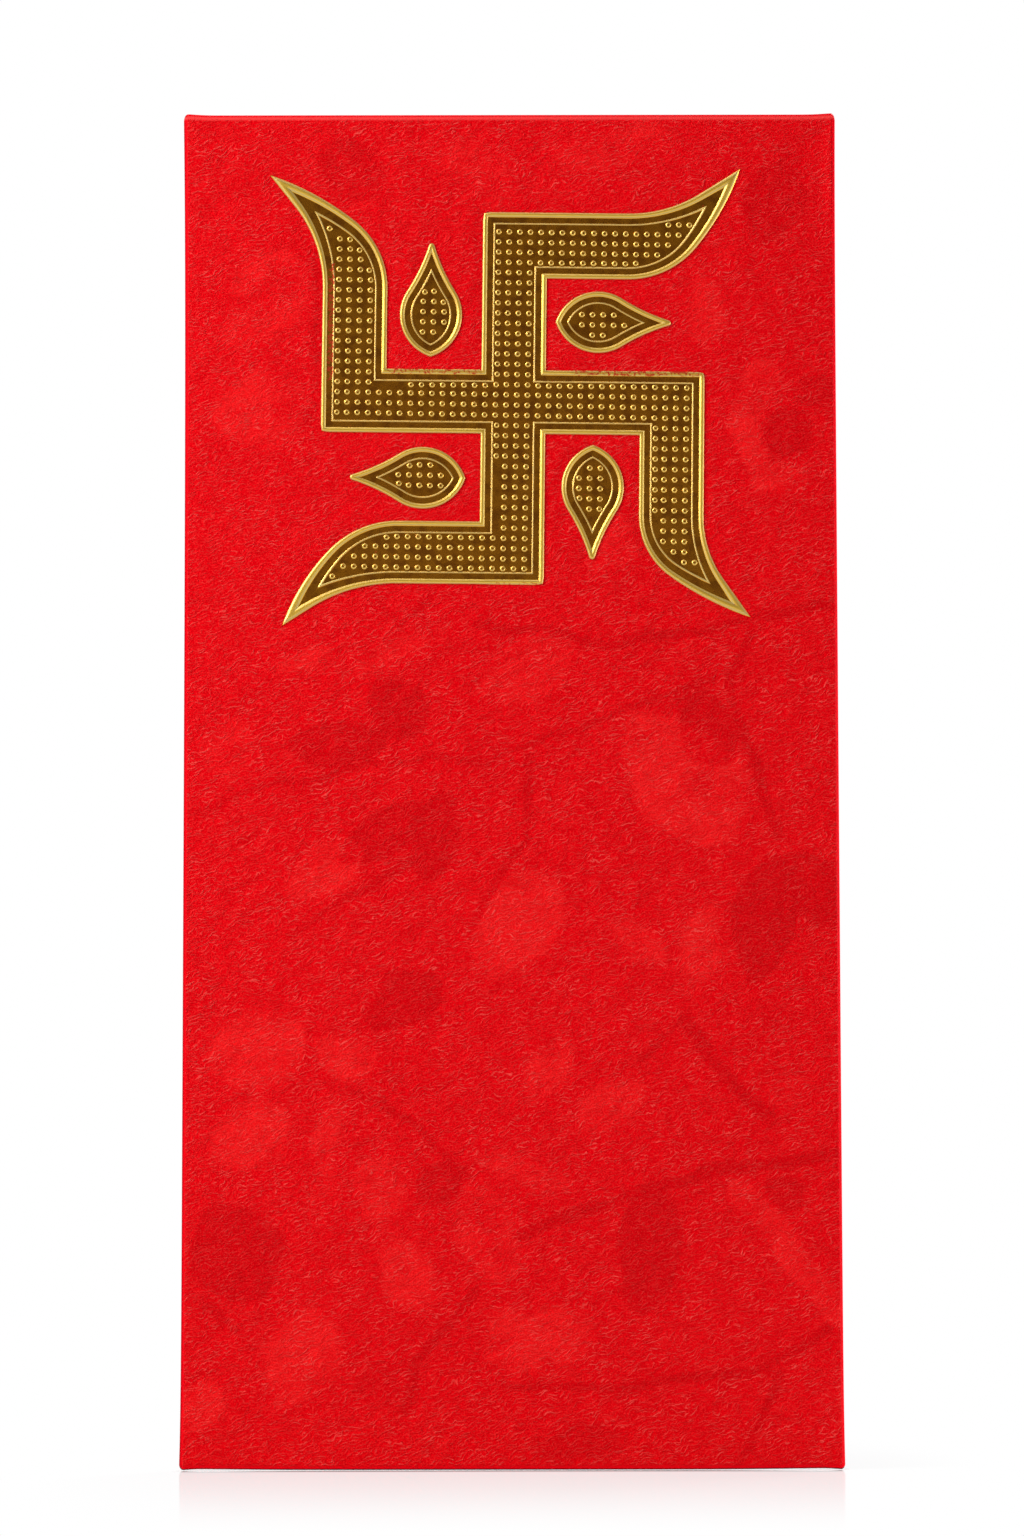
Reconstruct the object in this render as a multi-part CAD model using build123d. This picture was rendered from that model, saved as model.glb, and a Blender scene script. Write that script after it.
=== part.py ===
from build123d import *
from math import atan2, cos, radians, sin, sqrt, tan
import os

# A money-gift envelope that stands upright, in millimetres.
# X runs across it, Y from its front to its back, and Z up from its bottom fold.

# The folded sheet
envelope_width = 89.0
envelope_height = 184.0
paper_thickness = 0.35
pocket_gap = 0.5
fold_end_setback = 0.4
bottom_fold_inner_radius = 0.2
bottom_fold_leg = 0.25

# The side tabs and the glue between them and the back panel
tab_width = 14.0
tab_end_slope = 6.0
glue_thickness = 0.08
glue_width = 7.0
glue_edge_gap = 3.0
glue_end_gap = 4.0

# The back panel, with a thumb notch in its free edge
back_side_setback = 1.2
mouth_drop = 15.0
back_corner_radius = 2.0
notch_radius = 12.0
notch_depth = 7.0

# The closing flap and the gum on its inner face
flap_depth = 38.0
flap_taper = 11.0
flap_corner_radius = 9.0
flap_clearance = 0.25
gum_thickness = 0.08
gum_width = 8.0
gum_tip_gap = 3.0
gum_side_gap = 5.0

# The stamped foil: its heights above the paper, and the widths of its bands from the edge inwards
foil_field_height = 0.1
foil_line_height = 0.18
foil_rim_height = 0.3
foil_rim_width = 0.7
foil_band_width = 0.78
foil_line_width = 0.28

# The emblem's place on the front panel
emblem_drop = 40.0
emblem_offset = 0.35
emblem_tilt_degrees = 0.7

# The swastik: two bars that cross, each ending in hooks that turn clockwise and flick outwards.
# Reach is from the centre to a hook's outer edge, run and rise are of the tip past the straight hook,
# and the bend share places the corner that the outer edge bends inside, along the run.
# The inner edge bends on two arcs, which meet at the middle shares of the run and of its own rise.
bar_width = 8.9
hook_straight = 15.4
top_reach = 26.25
top_hook_width = 9.25
top_tip_run = 15.4
top_tip_rise = 6.55
top_bend_share = 0.345
right_reach = 26.05
right_hook_width = 8.9
right_tip_run = 13.9
right_tip_rise = 6.65
right_bend_share = 0.335
bottom_reach = 25.1
bottom_hook_width = 8.7
bottom_tip_run = 15.75
bottom_tip_rise = 6.05
bottom_bend_share = 0.405
left_reach = 26.2
left_hook_width = 8.95
left_tip_run = 15.8
left_tip_rise = 7.6
left_bend_share = 0.4
middle_run_share = 0.6
middle_rise_share = 0.279

# The flames, one in each quarter, pointing the way that the arm beside them runs.
# Side is from that arm's middle line to the flame's, start is from the level of the centre to its blunt end.
flame_length = 15.8
flame_half_width = 4.3
flame_widest_at = 5.85
flame_round_radius = 6.15
flame_hollow_radius = 26.5
flame_tip_radius = 0.45
top_flame_side = 11.35
top_flame_start = 6.05
right_flame_side = 11.1
right_flame_start = 5.6
bottom_flame_side = 10.9
bottom_flame_start = 5.75
left_flame_side = 10.55
left_flame_start = 6.35

# Layers from front to back, and the foil stands proud of the front
side_fold_radius = paper_thickness + pocket_gap / 2
back_inner_depth = 2 * paper_thickness + pocket_gap + glue_thickness
back_outer_depth = back_inner_depth + paper_thickness
flap_inner_depth = back_outer_depth + flap_clearance
flap_outer_depth = flap_inner_depth + paper_thickness
front_y = (foil_rim_height - flap_outer_depth) / 2
front_inner_y = front_y + paper_thickness
tab_outer_y = front_y + 2 * side_fold_radius
back_inner_y = front_y + back_inner_depth
back_outer_y = front_y + back_outer_depth
flap_inner_y = front_y + flap_inner_depth
flap_outer_y = front_y + flap_outer_depth

# Where the flat panels end and the folds begin
half_width = envelope_width / 2
panel_half_width = half_width - side_fold_radius
fold_half_length = half_width - fold_end_setback
bottom_fold_radius = bottom_fold_inner_radius + paper_thickness
panel_bottom_z = bottom_fold_radius + bottom_fold_leg
top_fold_radius = flap_outer_depth / 2
hinge_y = front_y + top_fold_radius
hinge_z = envelope_height - top_fold_radius
mouth_z = envelope_height - mouth_drop
emblem_z = envelope_height - emblem_drop


def sheet(outline, outer_y, thickness):
    """A flat piece drawn in X and Z, whose back face is at outer_y."""
    return Pos(0, outer_y, 0) * extrude(Plane.XZ * outline, thickness)


def rectangle(left, right, low, high):
    """An upright rectangle between two values of X and two of Z."""
    return Pos((left + right) / 2, (low + high) / 2) * Rectangle(right - left, high - low)


def front_panel():
    outline = rectangle(-panel_half_width, panel_half_width, panel_bottom_z, hinge_z)
    return sheet(outline, front_inner_y, paper_thickness)


def side_tab(side):
    """A tab with slanted ends, at the left (-1) or the right (1)."""
    free_x = half_width - tab_width
    corners = [
        (side * panel_half_width, panel_bottom_z),
        (side * panel_half_width, hinge_z),
        (side * free_x, hinge_z - tab_end_slope),
        (side * free_x, panel_bottom_z + tab_end_slope),
    ]
    return sheet(make_face(Polyline(*corners, close=True)), tab_outer_y, paper_thickness)


def seam_glue(side):
    """A glue line between a side tab and the back panel."""
    inner_x = half_width - tab_width + glue_edge_gap
    outer_x = inner_x + glue_width
    low = panel_bottom_z + tab_end_slope + glue_end_gap
    high = mouth_z - glue_end_gap
    outline = rectangle(min(side * inner_x, side * outer_x), max(side * inner_x, side * outer_x), low, high)
    return sheet(outline, back_inner_y, glue_thickness)


def back_panel():
    edge = half_width - back_side_setback
    outline = rectangle(-edge, edge, panel_bottom_z, mouth_z)
    outline = fillet(outline.vertices().group_by(Axis.Y)[-1], back_corner_radius)
    notch = Pos(0, mouth_z + notch_radius - notch_depth) * Circle(notch_radius)
    return sheet(outline - notch, back_outer_y, paper_thickness)


def closing_flap():
    tip_z = envelope_height - flap_depth
    tip_edge = fold_half_length - flap_taper
    corners = [(-fold_half_length, hinge_z), (fold_half_length, hinge_z), (tip_edge, tip_z), (-tip_edge, tip_z)]
    outline = make_face(Polyline(*corners, close=True))
    outline = fillet(outline.vertices().group_by(Axis.Y)[0], flap_corner_radius)
    return sheet(outline, flap_outer_y, paper_thickness)


def flap_gum():
    edge = fold_half_length - flap_taper - gum_side_gap
    low = envelope_height - flap_depth + gum_tip_gap
    return sheet(rectangle(-edge, edge, low, low + gum_width), flap_inner_y, gum_thickness)


def half_round_fold(radius):
    """The section of a round fold: half a ring on the positive side of its own Y."""
    ring = Circle(radius) - Circle(radius - paper_thickness)
    return ring & Pos(0, radius) * Rectangle(2 * radius, 2 * radius)


def side_crease(side):
    section = Pos(side * panel_half_width, front_y + side_fold_radius) * Rot(0, 0, -side * 90)
    fold = extrude(section * half_round_fold(side_fold_radius), hinge_z - panel_bottom_z)
    return Pos(0, 0, panel_bottom_z) * fold


def top_crease():
    section = Plane.YZ * Pos(hinge_y, hinge_z) * half_round_fold(top_fold_radius)
    return extrude(section, fold_half_length, both=True)


def bottom_crease():
    """A fold with two rounded corners and a flat strip between them to stand on."""
    outer = RectangleRounded(back_outer_depth, 2 * panel_bottom_z, bottom_fold_radius)
    inner_depth = back_outer_depth - 2 * paper_thickness
    inner_height = 2 * (panel_bottom_z - paper_thickness)
    inner = RectangleRounded(inner_depth, inner_height, bottom_fold_inner_radius)
    lower_half = Pos(0, -panel_bottom_z / 2) * Rectangle(back_outer_depth, panel_bottom_z)
    section = (outer - inner) & lower_half
    placed = Plane.YZ * Pos(front_y + back_outer_depth / 2, panel_bottom_z) * section
    return extrude(placed, fold_half_length, both=True)


def short_arc(centre, start, end):
    """The arc about a centre from start to end, the shorter way round."""
    radius = (start - centre).length
    middle = centre + ((start - centre) + (end - centre)).normalized() * radius
    return ThreePointArc(start, middle, end)


def bend(start, corner, tip):
    """An edge that runs into start, bends on an arc inside the corner and goes straight to the tip."""
    tangent = (corner - start).length
    away = (tip - corner).normalized()
    end = corner + away * tangent
    inward = ((start - corner).normalized() + away).normalized()
    half_angle = radians(inward.get_angle(away))
    centre = corner + inward * (tangent / cos(half_angle))
    return [short_arc(centre, start, end), Line(end, tip)]


def double_bend(start, way, middle, tip):
    """An edge that runs into start and bends to the tip on two arcs that meet smoothly at the middle."""
    first = TangentArc(start, middle, tangent=way)
    return [first, TangentArc(middle, tip, tangent=first % 1)]


def arm_edges(quarter_turns, reach, hook_width, tip_run, tip_rise, bend_share):
    """The outline of one arm, drawn for the top arm and turned clockwise."""
    half_bar = bar_width / 2
    inner_edge = reach - hook_width

    def at(side, out):
        for _ in range(quarter_turns):
            side, out = out, -side
        return Vector(side, out)

    tip = at(hook_straight + tip_run, reach + tip_rise)
    outer_start = at(hook_straight, reach)
    outer_corner = at(hook_straight + bend_share * tip_run, reach)
    inner_start = at(hook_straight, inner_edge)
    inner_rise = hook_width + tip_rise
    inner_middle = at(hook_straight + middle_run_share * tip_run, inner_edge + middle_rise_share * inner_rise)
    return [
        Polyline(at(-half_bar, half_bar), at(-half_bar, reach), outer_start),
        *bend(outer_start, outer_corner, tip),
        *double_bend(inner_start, outer_corner - outer_start, inner_middle, tip),
        Polyline(inner_start, at(half_bar, inner_edge), at(half_bar, half_bar)),
    ]


def swastik_face():
    arms = [
        (top_reach, top_hook_width, top_tip_run, top_tip_rise, top_bend_share),
        (right_reach, right_hook_width, right_tip_run, right_tip_rise, right_bend_share),
        (bottom_reach, bottom_hook_width, bottom_tip_run, bottom_tip_rise, bottom_bend_share),
        (left_reach, left_hook_width, left_tip_run, left_tip_rise, left_bend_share),
    ]
    edges = []
    for quarter_turns, sizes in enumerate(arms):
        edges += arm_edges(quarter_turns, *sizes)
    return make_face(Curve() + edges)


def flame_face():
    """A flame along its own X from its blunt end: a round body that hollows in towards a fine tip."""
    body = Vector(flame_widest_at, flame_half_width - flame_round_radius)
    tip = Vector(flame_length - flame_tip_radius, 0)
    blunt = Vector(flame_widest_at - sqrt(flame_round_radius**2 - body.Y**2), 0)
    body_reach = flame_round_radius + flame_hollow_radius
    tip_reach = flame_tip_radius + flame_hollow_radius
    apart = tip - body
    along = (apart.length**2 + body_reach**2 - tip_reach**2) / (2 * apart.length)
    across = sqrt(body_reach**2 - along**2)
    forward = apart.normalized()
    hollow = body + forward * along + Vector(-forward.Y, forward.X) * across
    shoulder = body + (hollow - body).normalized() * flame_round_radius
    neck = tip + (hollow - tip).normalized() * flame_tip_radius
    half = [short_arc(body, blunt, shoulder), short_arc(hollow, shoulder, neck)]
    half.append(short_arc(tip, neck, Vector(flame_length, 0)))
    other_half = [edge.mirror(Plane.XZ) for edge in half]
    return make_face(Curve() + half + other_half)


def stamped_foil(face):
    """A foil with a raised rim, a sunk band, a thin raised line and a flat field."""
    rim_inside = offset(face, -foil_rim_width, kind=Kind.INTERSECTION)
    line_outside = offset(face, -foil_rim_width - foil_band_width, kind=Kind.INTERSECTION)
    line_inside = offset(
        face, -foil_rim_width - foil_band_width - foil_line_width, kind=Kind.INTERSECTION
    )
    foil = extrude(face, foil_field_height)
    foil += extrude(face - rim_inside, foil_rim_height)
    foil += extrude(line_outside - line_inside, foil_line_height)
    return foil


def on_front(foil):
    """Places a foil drawn flat about the emblem's centre on the front panel."""
    tilt = radians(emblem_tilt_degrees)
    plane = Plane(
        origin=(emblem_offset, front_y, emblem_z),
        x_dir=(cos(tilt), 0, -sin(tilt)),
        z_dir=(0, -1, 0),
    )
    return plane * foil


def flame_foil(quarter_turns, side, start):
    """A flame beside the top arm, or turned clockwise with the arms."""
    placed = Rot(0, 0, -90 * quarter_turns) * Pos(-side, start) * Rot(0, 0, 90)
    return on_front(placed * stamped_foil(flame_face()))


pieces = {
    "front_panel": front_panel(),
    "back_panel": back_panel(),
    "left_side_tab": side_tab(-1),
    "right_side_tab": side_tab(1),
    "left_crease": side_crease(-1),
    "right_crease": side_crease(1),
    "bottom_crease": bottom_crease(),
    "top_crease": top_crease(),
    "closing_flap": closing_flap(),
    "flap_gum": flap_gum(),
    "left_seam_glue": seam_glue(-1),
    "right_seam_glue": seam_glue(1),
    "swastik_foil": on_front(stamped_foil(swastik_face())),
}
flames = {
    "top": (top_flame_side, top_flame_start),
    "right": (right_flame_side, right_flame_start),
    "bottom": (bottom_flame_side, bottom_flame_start),
    "left": (left_flame_side, left_flame_start),
}
for quarter_turns, (place, (side, start)) in enumerate(flames.items()):
    pieces["flame_foil_" + place] = flame_foil(quarter_turns, side, start)

os.makedirs("parts", exist_ok=True)
for name, piece in pieces.items():
    export_step(piece, "parts/" + name + ".step")
print("hinge at", hinge_y, hinge_z, "standing strip at", front_y + back_outer_depth / 2, "flap face at", flap_outer_y)
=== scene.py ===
from math import atan2, cos, pi, radians, sin, tan

import bmesh
import bpy
import numpy as np
from mathutils import Matrix, Vector
from mathutils.geometry import delaunay_2d_cdt


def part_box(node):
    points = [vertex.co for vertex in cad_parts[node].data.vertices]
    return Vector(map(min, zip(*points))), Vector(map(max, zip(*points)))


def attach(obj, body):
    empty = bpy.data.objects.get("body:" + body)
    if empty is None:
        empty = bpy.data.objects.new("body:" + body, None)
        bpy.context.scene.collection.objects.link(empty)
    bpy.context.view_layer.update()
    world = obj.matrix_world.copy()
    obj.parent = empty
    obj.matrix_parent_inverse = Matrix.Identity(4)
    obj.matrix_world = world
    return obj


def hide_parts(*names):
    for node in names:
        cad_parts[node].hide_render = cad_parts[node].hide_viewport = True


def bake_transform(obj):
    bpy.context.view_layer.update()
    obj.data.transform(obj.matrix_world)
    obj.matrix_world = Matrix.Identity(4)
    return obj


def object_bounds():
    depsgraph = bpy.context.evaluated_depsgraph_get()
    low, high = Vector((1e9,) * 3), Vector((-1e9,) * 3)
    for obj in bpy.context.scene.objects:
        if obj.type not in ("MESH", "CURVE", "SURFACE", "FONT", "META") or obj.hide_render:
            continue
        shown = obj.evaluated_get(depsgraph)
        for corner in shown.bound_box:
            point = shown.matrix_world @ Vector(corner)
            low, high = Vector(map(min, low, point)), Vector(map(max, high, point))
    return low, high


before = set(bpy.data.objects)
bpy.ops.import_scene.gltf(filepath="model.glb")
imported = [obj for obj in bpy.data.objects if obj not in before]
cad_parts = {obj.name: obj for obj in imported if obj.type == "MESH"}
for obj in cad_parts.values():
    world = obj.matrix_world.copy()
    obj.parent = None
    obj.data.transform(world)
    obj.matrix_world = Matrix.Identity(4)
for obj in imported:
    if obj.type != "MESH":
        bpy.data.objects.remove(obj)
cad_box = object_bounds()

# Sizes and places that the frame gives, in metres
front_low, front_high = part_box("front_panel")
_, back_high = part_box("back_panel")
flap_low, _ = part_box("closing_flap")
tab_low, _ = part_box("right_side_tab")
swastik_low, swastik_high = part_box("swastik_foil")
half_width = cad_box[1][0]
height = cad_box[1][2]
front_y = front_low[1]
paper_thickness = front_high[1] - front_low[1]
panel_half_width = front_high[0]
panel_bottom = front_low[2]
hinge_z = front_high[2]
side_radius = half_width - panel_half_width
top_radius = height - hinge_z
back_depth = back_high[1] - front_y

# The meshes: how many cells each stretch has, and how points and folds are joined
front_columns = 177
front_rows = 366
fold_cells = 12
strip_cells = 2
tab_columns = 9
back_rows = 150
flap_rows = 60
bar_cells = 24
edge_cells = 24
hook_cells = 40
bend_cells = 40
tip_cells = 60
corner_cells = 4
flame_body_cells = 36
flame_hollow_cells = 24
flame_tip_cells = 6
paper_sharp_angle = radians(45)
foil_sharp_angle = radians(35)
same_place = 1e-7
fill_inside = 1
mm_per_metre = 1000

# The sheet's outline and relief
tab_end_slope = 0.006
mouth_corner = 0.002
notch_radius = 0.012
notch_depth = 0.007
flap_taper = 0.011
flap_corner = 0.009
back_narrowing_rate = 40
bottom_radius = panel_bottom
side_pull = 0.0002
ear_size = 0.0022
ear_height = 0.00018
ear_reach = 0.006
bottom_lift = 0.00014
bottom_ear_size = 0.0016
bottom_lift_reach = 0.011
edge_pull_power = 8
# How the long edges stand out at the corners: side, end, amount and reach
flares = [
    (-1, 1, 0.00042, 0.022),
    (1, 1, 0.00016, 0.014),
    (-1, -1, 0.00022, 0.008),
    (1, -1, 0.00018, 0.008),
]
front_puff = 0.0004
puff_side_power = 3
puff_end_power = 6
dent_depth = 0.0005
dent_place = (0.040, 0.176)
dent_size = 0.009
crinkle_size = 0.0026
crinkle_height = 0.00009
crinkle_turn = radians(28)
crinkle_stretch = 1.7
crinkle_bend_share = 0.7
crinkle_bend_scales = (0.8, 0.6)
crinkle_fine_share = 0.5
crinkle_fine_scales = (2.3, 2.6)
foil_moat_depth = 0.00006
foil_moat_width = 0.0009
foil_moat_reach = 4 * foil_moat_width
# Where each noise starts on its lattice, across and up, and its seed
lattice_cells = 256
crinkle_bend_start = (31, 7, 3)
crinkle_ridge_start = (50, 50, 5)
crinkle_fine_start = (90, 20, 8)
sway_across_start = (70, 11, 21)
sway_up_start = (15, 60, 22)

# The stamped foil, from its edge inwards: inset, height above the paper, and how much painted highlight its
# gold gets
foil_profile = [
    (0.0, -0.00006, 0.0),
    (0.00003, 0.00004, 0.0),
    (0.00009, 0.00014, 0.8),
    (0.00016, 0.00022, 1.0),
    (0.00024, 0.000265, 0.7),
    (0.00037, 0.000285, 0.5),
    (0.00051, 0.000265, 0.6),
    (0.00059, 0.00022, 1.0),
    (0.00066, 0.00014, 0.9),
    (0.00072, 0.00009, 0.3),
    (0.00077, 0.00008, 0.0),
    (0.00085, 0.00008, 0.0),
    (0.00146, 0.00008, 0.0),
    (0.00152, 0.00008, 0.0),
    (0.00156, 0.00011, 1.0),
    (0.00163, 0.00018, 1.0),
    (0.0017, 0.00012, 1.0),
    (0.00174, 0.00009, 0.0),
    (0.00181, 0.00009, 0.0),
]
foil_corner_radius = 0.00055
# Worn stretches of foil as shares of the emblem's reach: left, right, low and high ends, and how worn
emblem_reach = 0.0262
worn_shares = [
    (0.30, 0.975, 0.140, 0.180, 0.65),
    (-0.66, -0.15, 0.140, 0.180, 0.6),
    (-0.972, -0.935, 0.10, 0.72, 0.75),
    (-0.10, 0.14, -0.985, -0.94, 0.5),
    (0.165, 0.195, 0.20, 0.60, 0.5),
]
worn_edge_share = 0.02
worn_height = 0.00011
bead_pitch_x = 0.001444
bead_pitch_z = 0.001407
bead_shift = (-0.00026, 0.00026)
bead_turn = radians(0.5)
bead_radius = 0.00039
bead_least_gap = 0.00014
bead_line_gap = 0.00002
bead_nudge_probe = 0.00002
bead_nudges = 3
bead_nudge_share = 0.7
bead_half_count = 26
bead_sides = 14
# A bead's rings from its foot up: shares of its radius and height, and how much painted highlight its gold
# gets
bead_ring_shares = [
    (0.95, 0.15, 0.6),
    (0.78, 0.6, 0.8),
    (0.6, 0.95, 0.85),
    (0.46, 1.0, 0.2),
    (0.34, 0.9, 0.0),
]
bead_centre_share = 0.82
bead_height = 0.00014

# The swastik and the flames
emblem_x = 0.00035
emblem_drop = 0.040
emblem_z = height - emblem_drop
emblem_tilt = radians(0.7)
bar_width = 0.0089
hook_straight = 0.0154
# Each arm, clockwise from the top: reach, hook width, run and rise of its tip, share of its outer bend
arms = [
    (0.02625, 0.00925, 0.0154, 0.00655, 0.345),
    (0.02605, 0.0089, 0.0139, 0.00665, 0.335),
    (0.0251, 0.0087, 0.01575, 0.00605, 0.405),
    (0.0262, 0.00895, 0.0158, 0.0076, 0.4),
]
middle_run_share = 0.6
middle_rise_share = 0.279
tip_widening_share = 0.8
outer_overrun_share = 1.5
inner_overrun_share = 1.2
flame_length = 0.0158
flame_half_width = 0.0043
flame_widest_at = 0.00585
flame_round_radius = 0.00615
flame_hollow_radius = 0.0265
flame_tip_radius = 0.00045
flame_places = {
    "top": (0.01135, 0.00605),
    "right": (0.0111, 0.0056),
    "bottom": (0.0109, 0.00575),
    "left": (0.01055, 0.00635),
}

# The camera, set from where the photograph shows the envelope's corners
camera_distance = 0.650
camera_height = 0.0347
camera_side = 0.0001
camera_pitch = radians(5.223)
camera_roll = radians(-0.0895)
camera_lens_mm = 113.016
camera_sensor_mm = 36
camera_clip_start = 0.01


def smooth_step(value):
    """Rises smoothly from 0 to 1 as a value does."""
    value = np.clip(value, 0, 1)
    return value * value * (3 - 2 * value)


def bell(distance, breadth):
    """1 at no distance, falling to 0 on both sides."""
    return np.exp(-((distance / breadth) ** 2))


def turned(x, z, angle):
    """The same places along axes that are turned by an angle."""
    return x * cos(angle) + z * sin(angle), z * cos(angle) - x * sin(angle)


def grid_places(first, second):
    """The places of a grid, column by column."""
    return [values.ravel() for values in np.meshgrid(first, second, indexing="ij")]


def steps(length, cells):
    """Even steps along a length, with its start left off."""
    return np.linspace(0, length, cells + 1)[1:]


def angle_of(run):
    """The angle of a flat run from the first axis."""
    return atan2(run[1], run[0])


def lattice_noise(u, v, start):
    """Smooth seeded noise between -1 and 1 on a lattice with one cell per unit."""
    across_start, up_start, seed = start
    u = u + across_start
    v = v + up_start
    table = np.random.default_rng(seed).uniform(-1, 1, (lattice_cells, lattice_cells))
    column = np.floor(u).astype(int)
    row = np.floor(v).astype(int)
    across = smooth_step(u - column)
    up = smooth_step(v - row)

    def at(i, j):
        return table[(column + i) % lattice_cells, (row + j) % lattice_cells]

    low = at(0, 0) * (1 - across) + at(1, 0) * across
    high = at(0, 1) * (1 - across) + at(1, 1) * across
    return low * (1 - up) + high * up


# The printed leaves and twigs, placed by shares of the front's width from its middle and of its height.
# A leaf is across, up, length and breadth as shares of the width, degrees from level, and tone.
leaf_shares = [
    (-0.267, 0.529, 0.165, 0.075, 4, -1.0),
    (-0.172, 0.555, 0.125, 0.085, -48, -1.0),
    (-0.199, 0.462, 0.165, 0.072, 32, -0.9),
    (-0.118, 0.459, 0.150, 0.070, 80, -0.9),
    (-0.283, 0.436, 0.150, 0.078, 32, 0.9),
    (-0.164, 0.340, 0.140, 0.090, 36, -1.0),
    (0.005, 0.393, 0.225, 0.112, 58, 0.9),
    (0.260, 0.503, 0.270, 0.170, -48, 0.8),
    (0.297, 0.543, 0.150, 0.090, -68, -0.9),
    (0.382, 0.399, 0.215, 0.100, 76, -1.0),
    (0.463, 0.422, 0.140, 0.080, -58, -0.8),
    (0.190, 0.384, 0.125, 0.048, -44, 0.8),
    (0.283, 0.377, 0.170, 0.055, 80, 0.9),
    (0.054, 0.288, 0.130, 0.070, 68, 0.7),
    (0.145, 0.262, 0.125, 0.065, 38, 0.8),
    (-0.389, 0.303, 0.170, 0.130, 20, 0.8),
    (-0.397, 0.244, 0.150, 0.095, 24, 0.9),
    (-0.252, 0.300, 0.110, 0.072, -14, 0.8),
    (-0.285, 0.222, 0.220, 0.040, 82, 0.7),
    (-0.420, 0.159, 0.165, 0.140, -62, -0.9),
    (0.015, 0.216, 0.165, 0.042, -20, 0.7),
    (-0.111, 0.206, 0.080, 0.076, 50, -0.8),
    (-0.198, 0.203, 0.110, 0.085, 60, 0.5),
    (-0.168, 0.148, 0.165, 0.075, -58, 0.7),
    (-0.038, 0.174, 0.175, 0.095, -70, 0.7),
    (0.206, 0.159, 0.205, 0.104, 86, -1.0),
    (0.000, 0.092, 0.105, 0.095, 20, 0.8),
    (0.076, 0.100, 0.105, 0.088, -30, 0.9),
    (-0.320, 0.078, 0.165, 0.110, 68, 0.8),
    (-0.473, 0.044, 0.090, 0.085, 50, 0.7),
    (-0.200, 0.060, 0.080, 0.060, 70, -0.5),
    (0.412, 0.201, 0.075, 0.058, -30, -0.9),
    (0.099, 0.018, 0.165, 0.052, 6, -0.6),
    (0.420, 0.758, 0.095, 0.080, 40, -1.0),
    (0.465, 0.791, 0.085, 0.050, 10, -0.9),
    (-0.252, 0.954, 0.130, 0.100, 30, -0.6),
    (0.405, 0.932, 0.150, 0.100, 70, -0.6),
    (-0.313, 0.592, 0.110, 0.036, 10, 0.8),
    (-0.180, 0.596, 0.190, 0.030, 24, 0.6),
    (0.023, 0.584, 0.180, 0.105, 30, 0.5),
    (-0.435, 0.525, 0.090, 0.090, 0, 0.6),
    (-0.375, 0.858, 0.190, 0.120, 55, 0.6),
    (-0.380, 0.777, 0.165, 0.110, 10, 0.6),
    (0.160, 0.975, 0.210, 0.070, 12, 0.5),
    (-0.060, 0.965, 0.180, 0.060, -8, 0.4),
    (0.300, 0.848, 0.120, 0.060, 85, 0.5),
    (0.155, 0.672, 0.110, 0.060, 40, 0.6),
]
# A twig is a breadth as a share of the width, a tone, and the places that it runs through.
twig_shares = [
    (0.013, -0.9, [(-0.05, 0.616), (0.10, 0.610), (0.145, 0.600), (0.36, 0.621), (0.5, 0.634)]),
    (0.008, -0.7, [
        (-0.49, 0.477), (-0.40, 0.496), (-0.13, 0.518), (-0.04, 0.514), (0.10, 0.540), (0.31, 0.577),
    ]),
    (0.012, -0.8, [(0.365, 0.610), (0.332, 0.578), (0.366, 0.518), (0.405, 0.459)]),
    (0.012, -0.8, [(0.03, 0.518), (0.023, 0.459), (-0.053, 0.403)]),
    (0.010, -0.7, [(-0.343, 0.388), (-0.24, 0.418), (-0.145, 0.444)]),
    (0.016, -0.9, [(0.26, 0.326), (0.30, 0.296), (0.389, 0.253)]),
    (0.010, -0.6, [(0.26, 0.326), (0.191, 0.296)]),
    (0.010, -0.7, [(-0.252, 0.274), (-0.16, 0.252), (-0.053, 0.207)]),
    (0.015, -0.9, [(0.015, 0.169), (0.175, 0.200), (0.343, 0.220), (0.49, 0.229)]),
    (0.009, -0.8, [(0.214, 0.203), (0.21, 0.170)]),
    (0.014, -0.8, [(-0.053, 0.129), (-0.13, 0.089), (-0.168, 0.044)]),
    (0.012, -0.9, [(0.0, 0.061), (0.175, 0.059), (0.374, 0.073), (0.48, 0.100)]),
    (0.012, -0.8, [(0.40, 0.067), (0.343, 0.007)]),
    (0.034, 0.7, [(0.343, 0.200), (0.405, 0.170), (0.49, 0.111)]),
    (0.034, 0.7, [(0.385, 0.805), (0.350, 0.765), (0.382, 0.727), (0.443, 0.721)]),
    (0.012, -0.7, [(-0.49, 0.126), (-0.405, 0.100)]),
    (0.009, -0.5, [(-0.23, 0.658), (-0.168, 0.614), (-0.12, 0.643)]),
]
print_width = 2 * half_width
leaf_edge = 0.0011
light_leaf_edge = 0.0026
leaf_tip_share = 0.12
leaf_bluntness = 0.9
leaf_skew_share = 0.2
twig_edge = 0.0005
twig_breadth_share = 1.25
print_sway = 0.0006
print_sway_size = 0.0045
vein_breadth = 0.0004
vein_share = 0.35


def wrapped(value, period):
    """The print repeats, so a distance is taken to the nearest copy."""
    return value - period * np.round(value / period)


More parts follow.
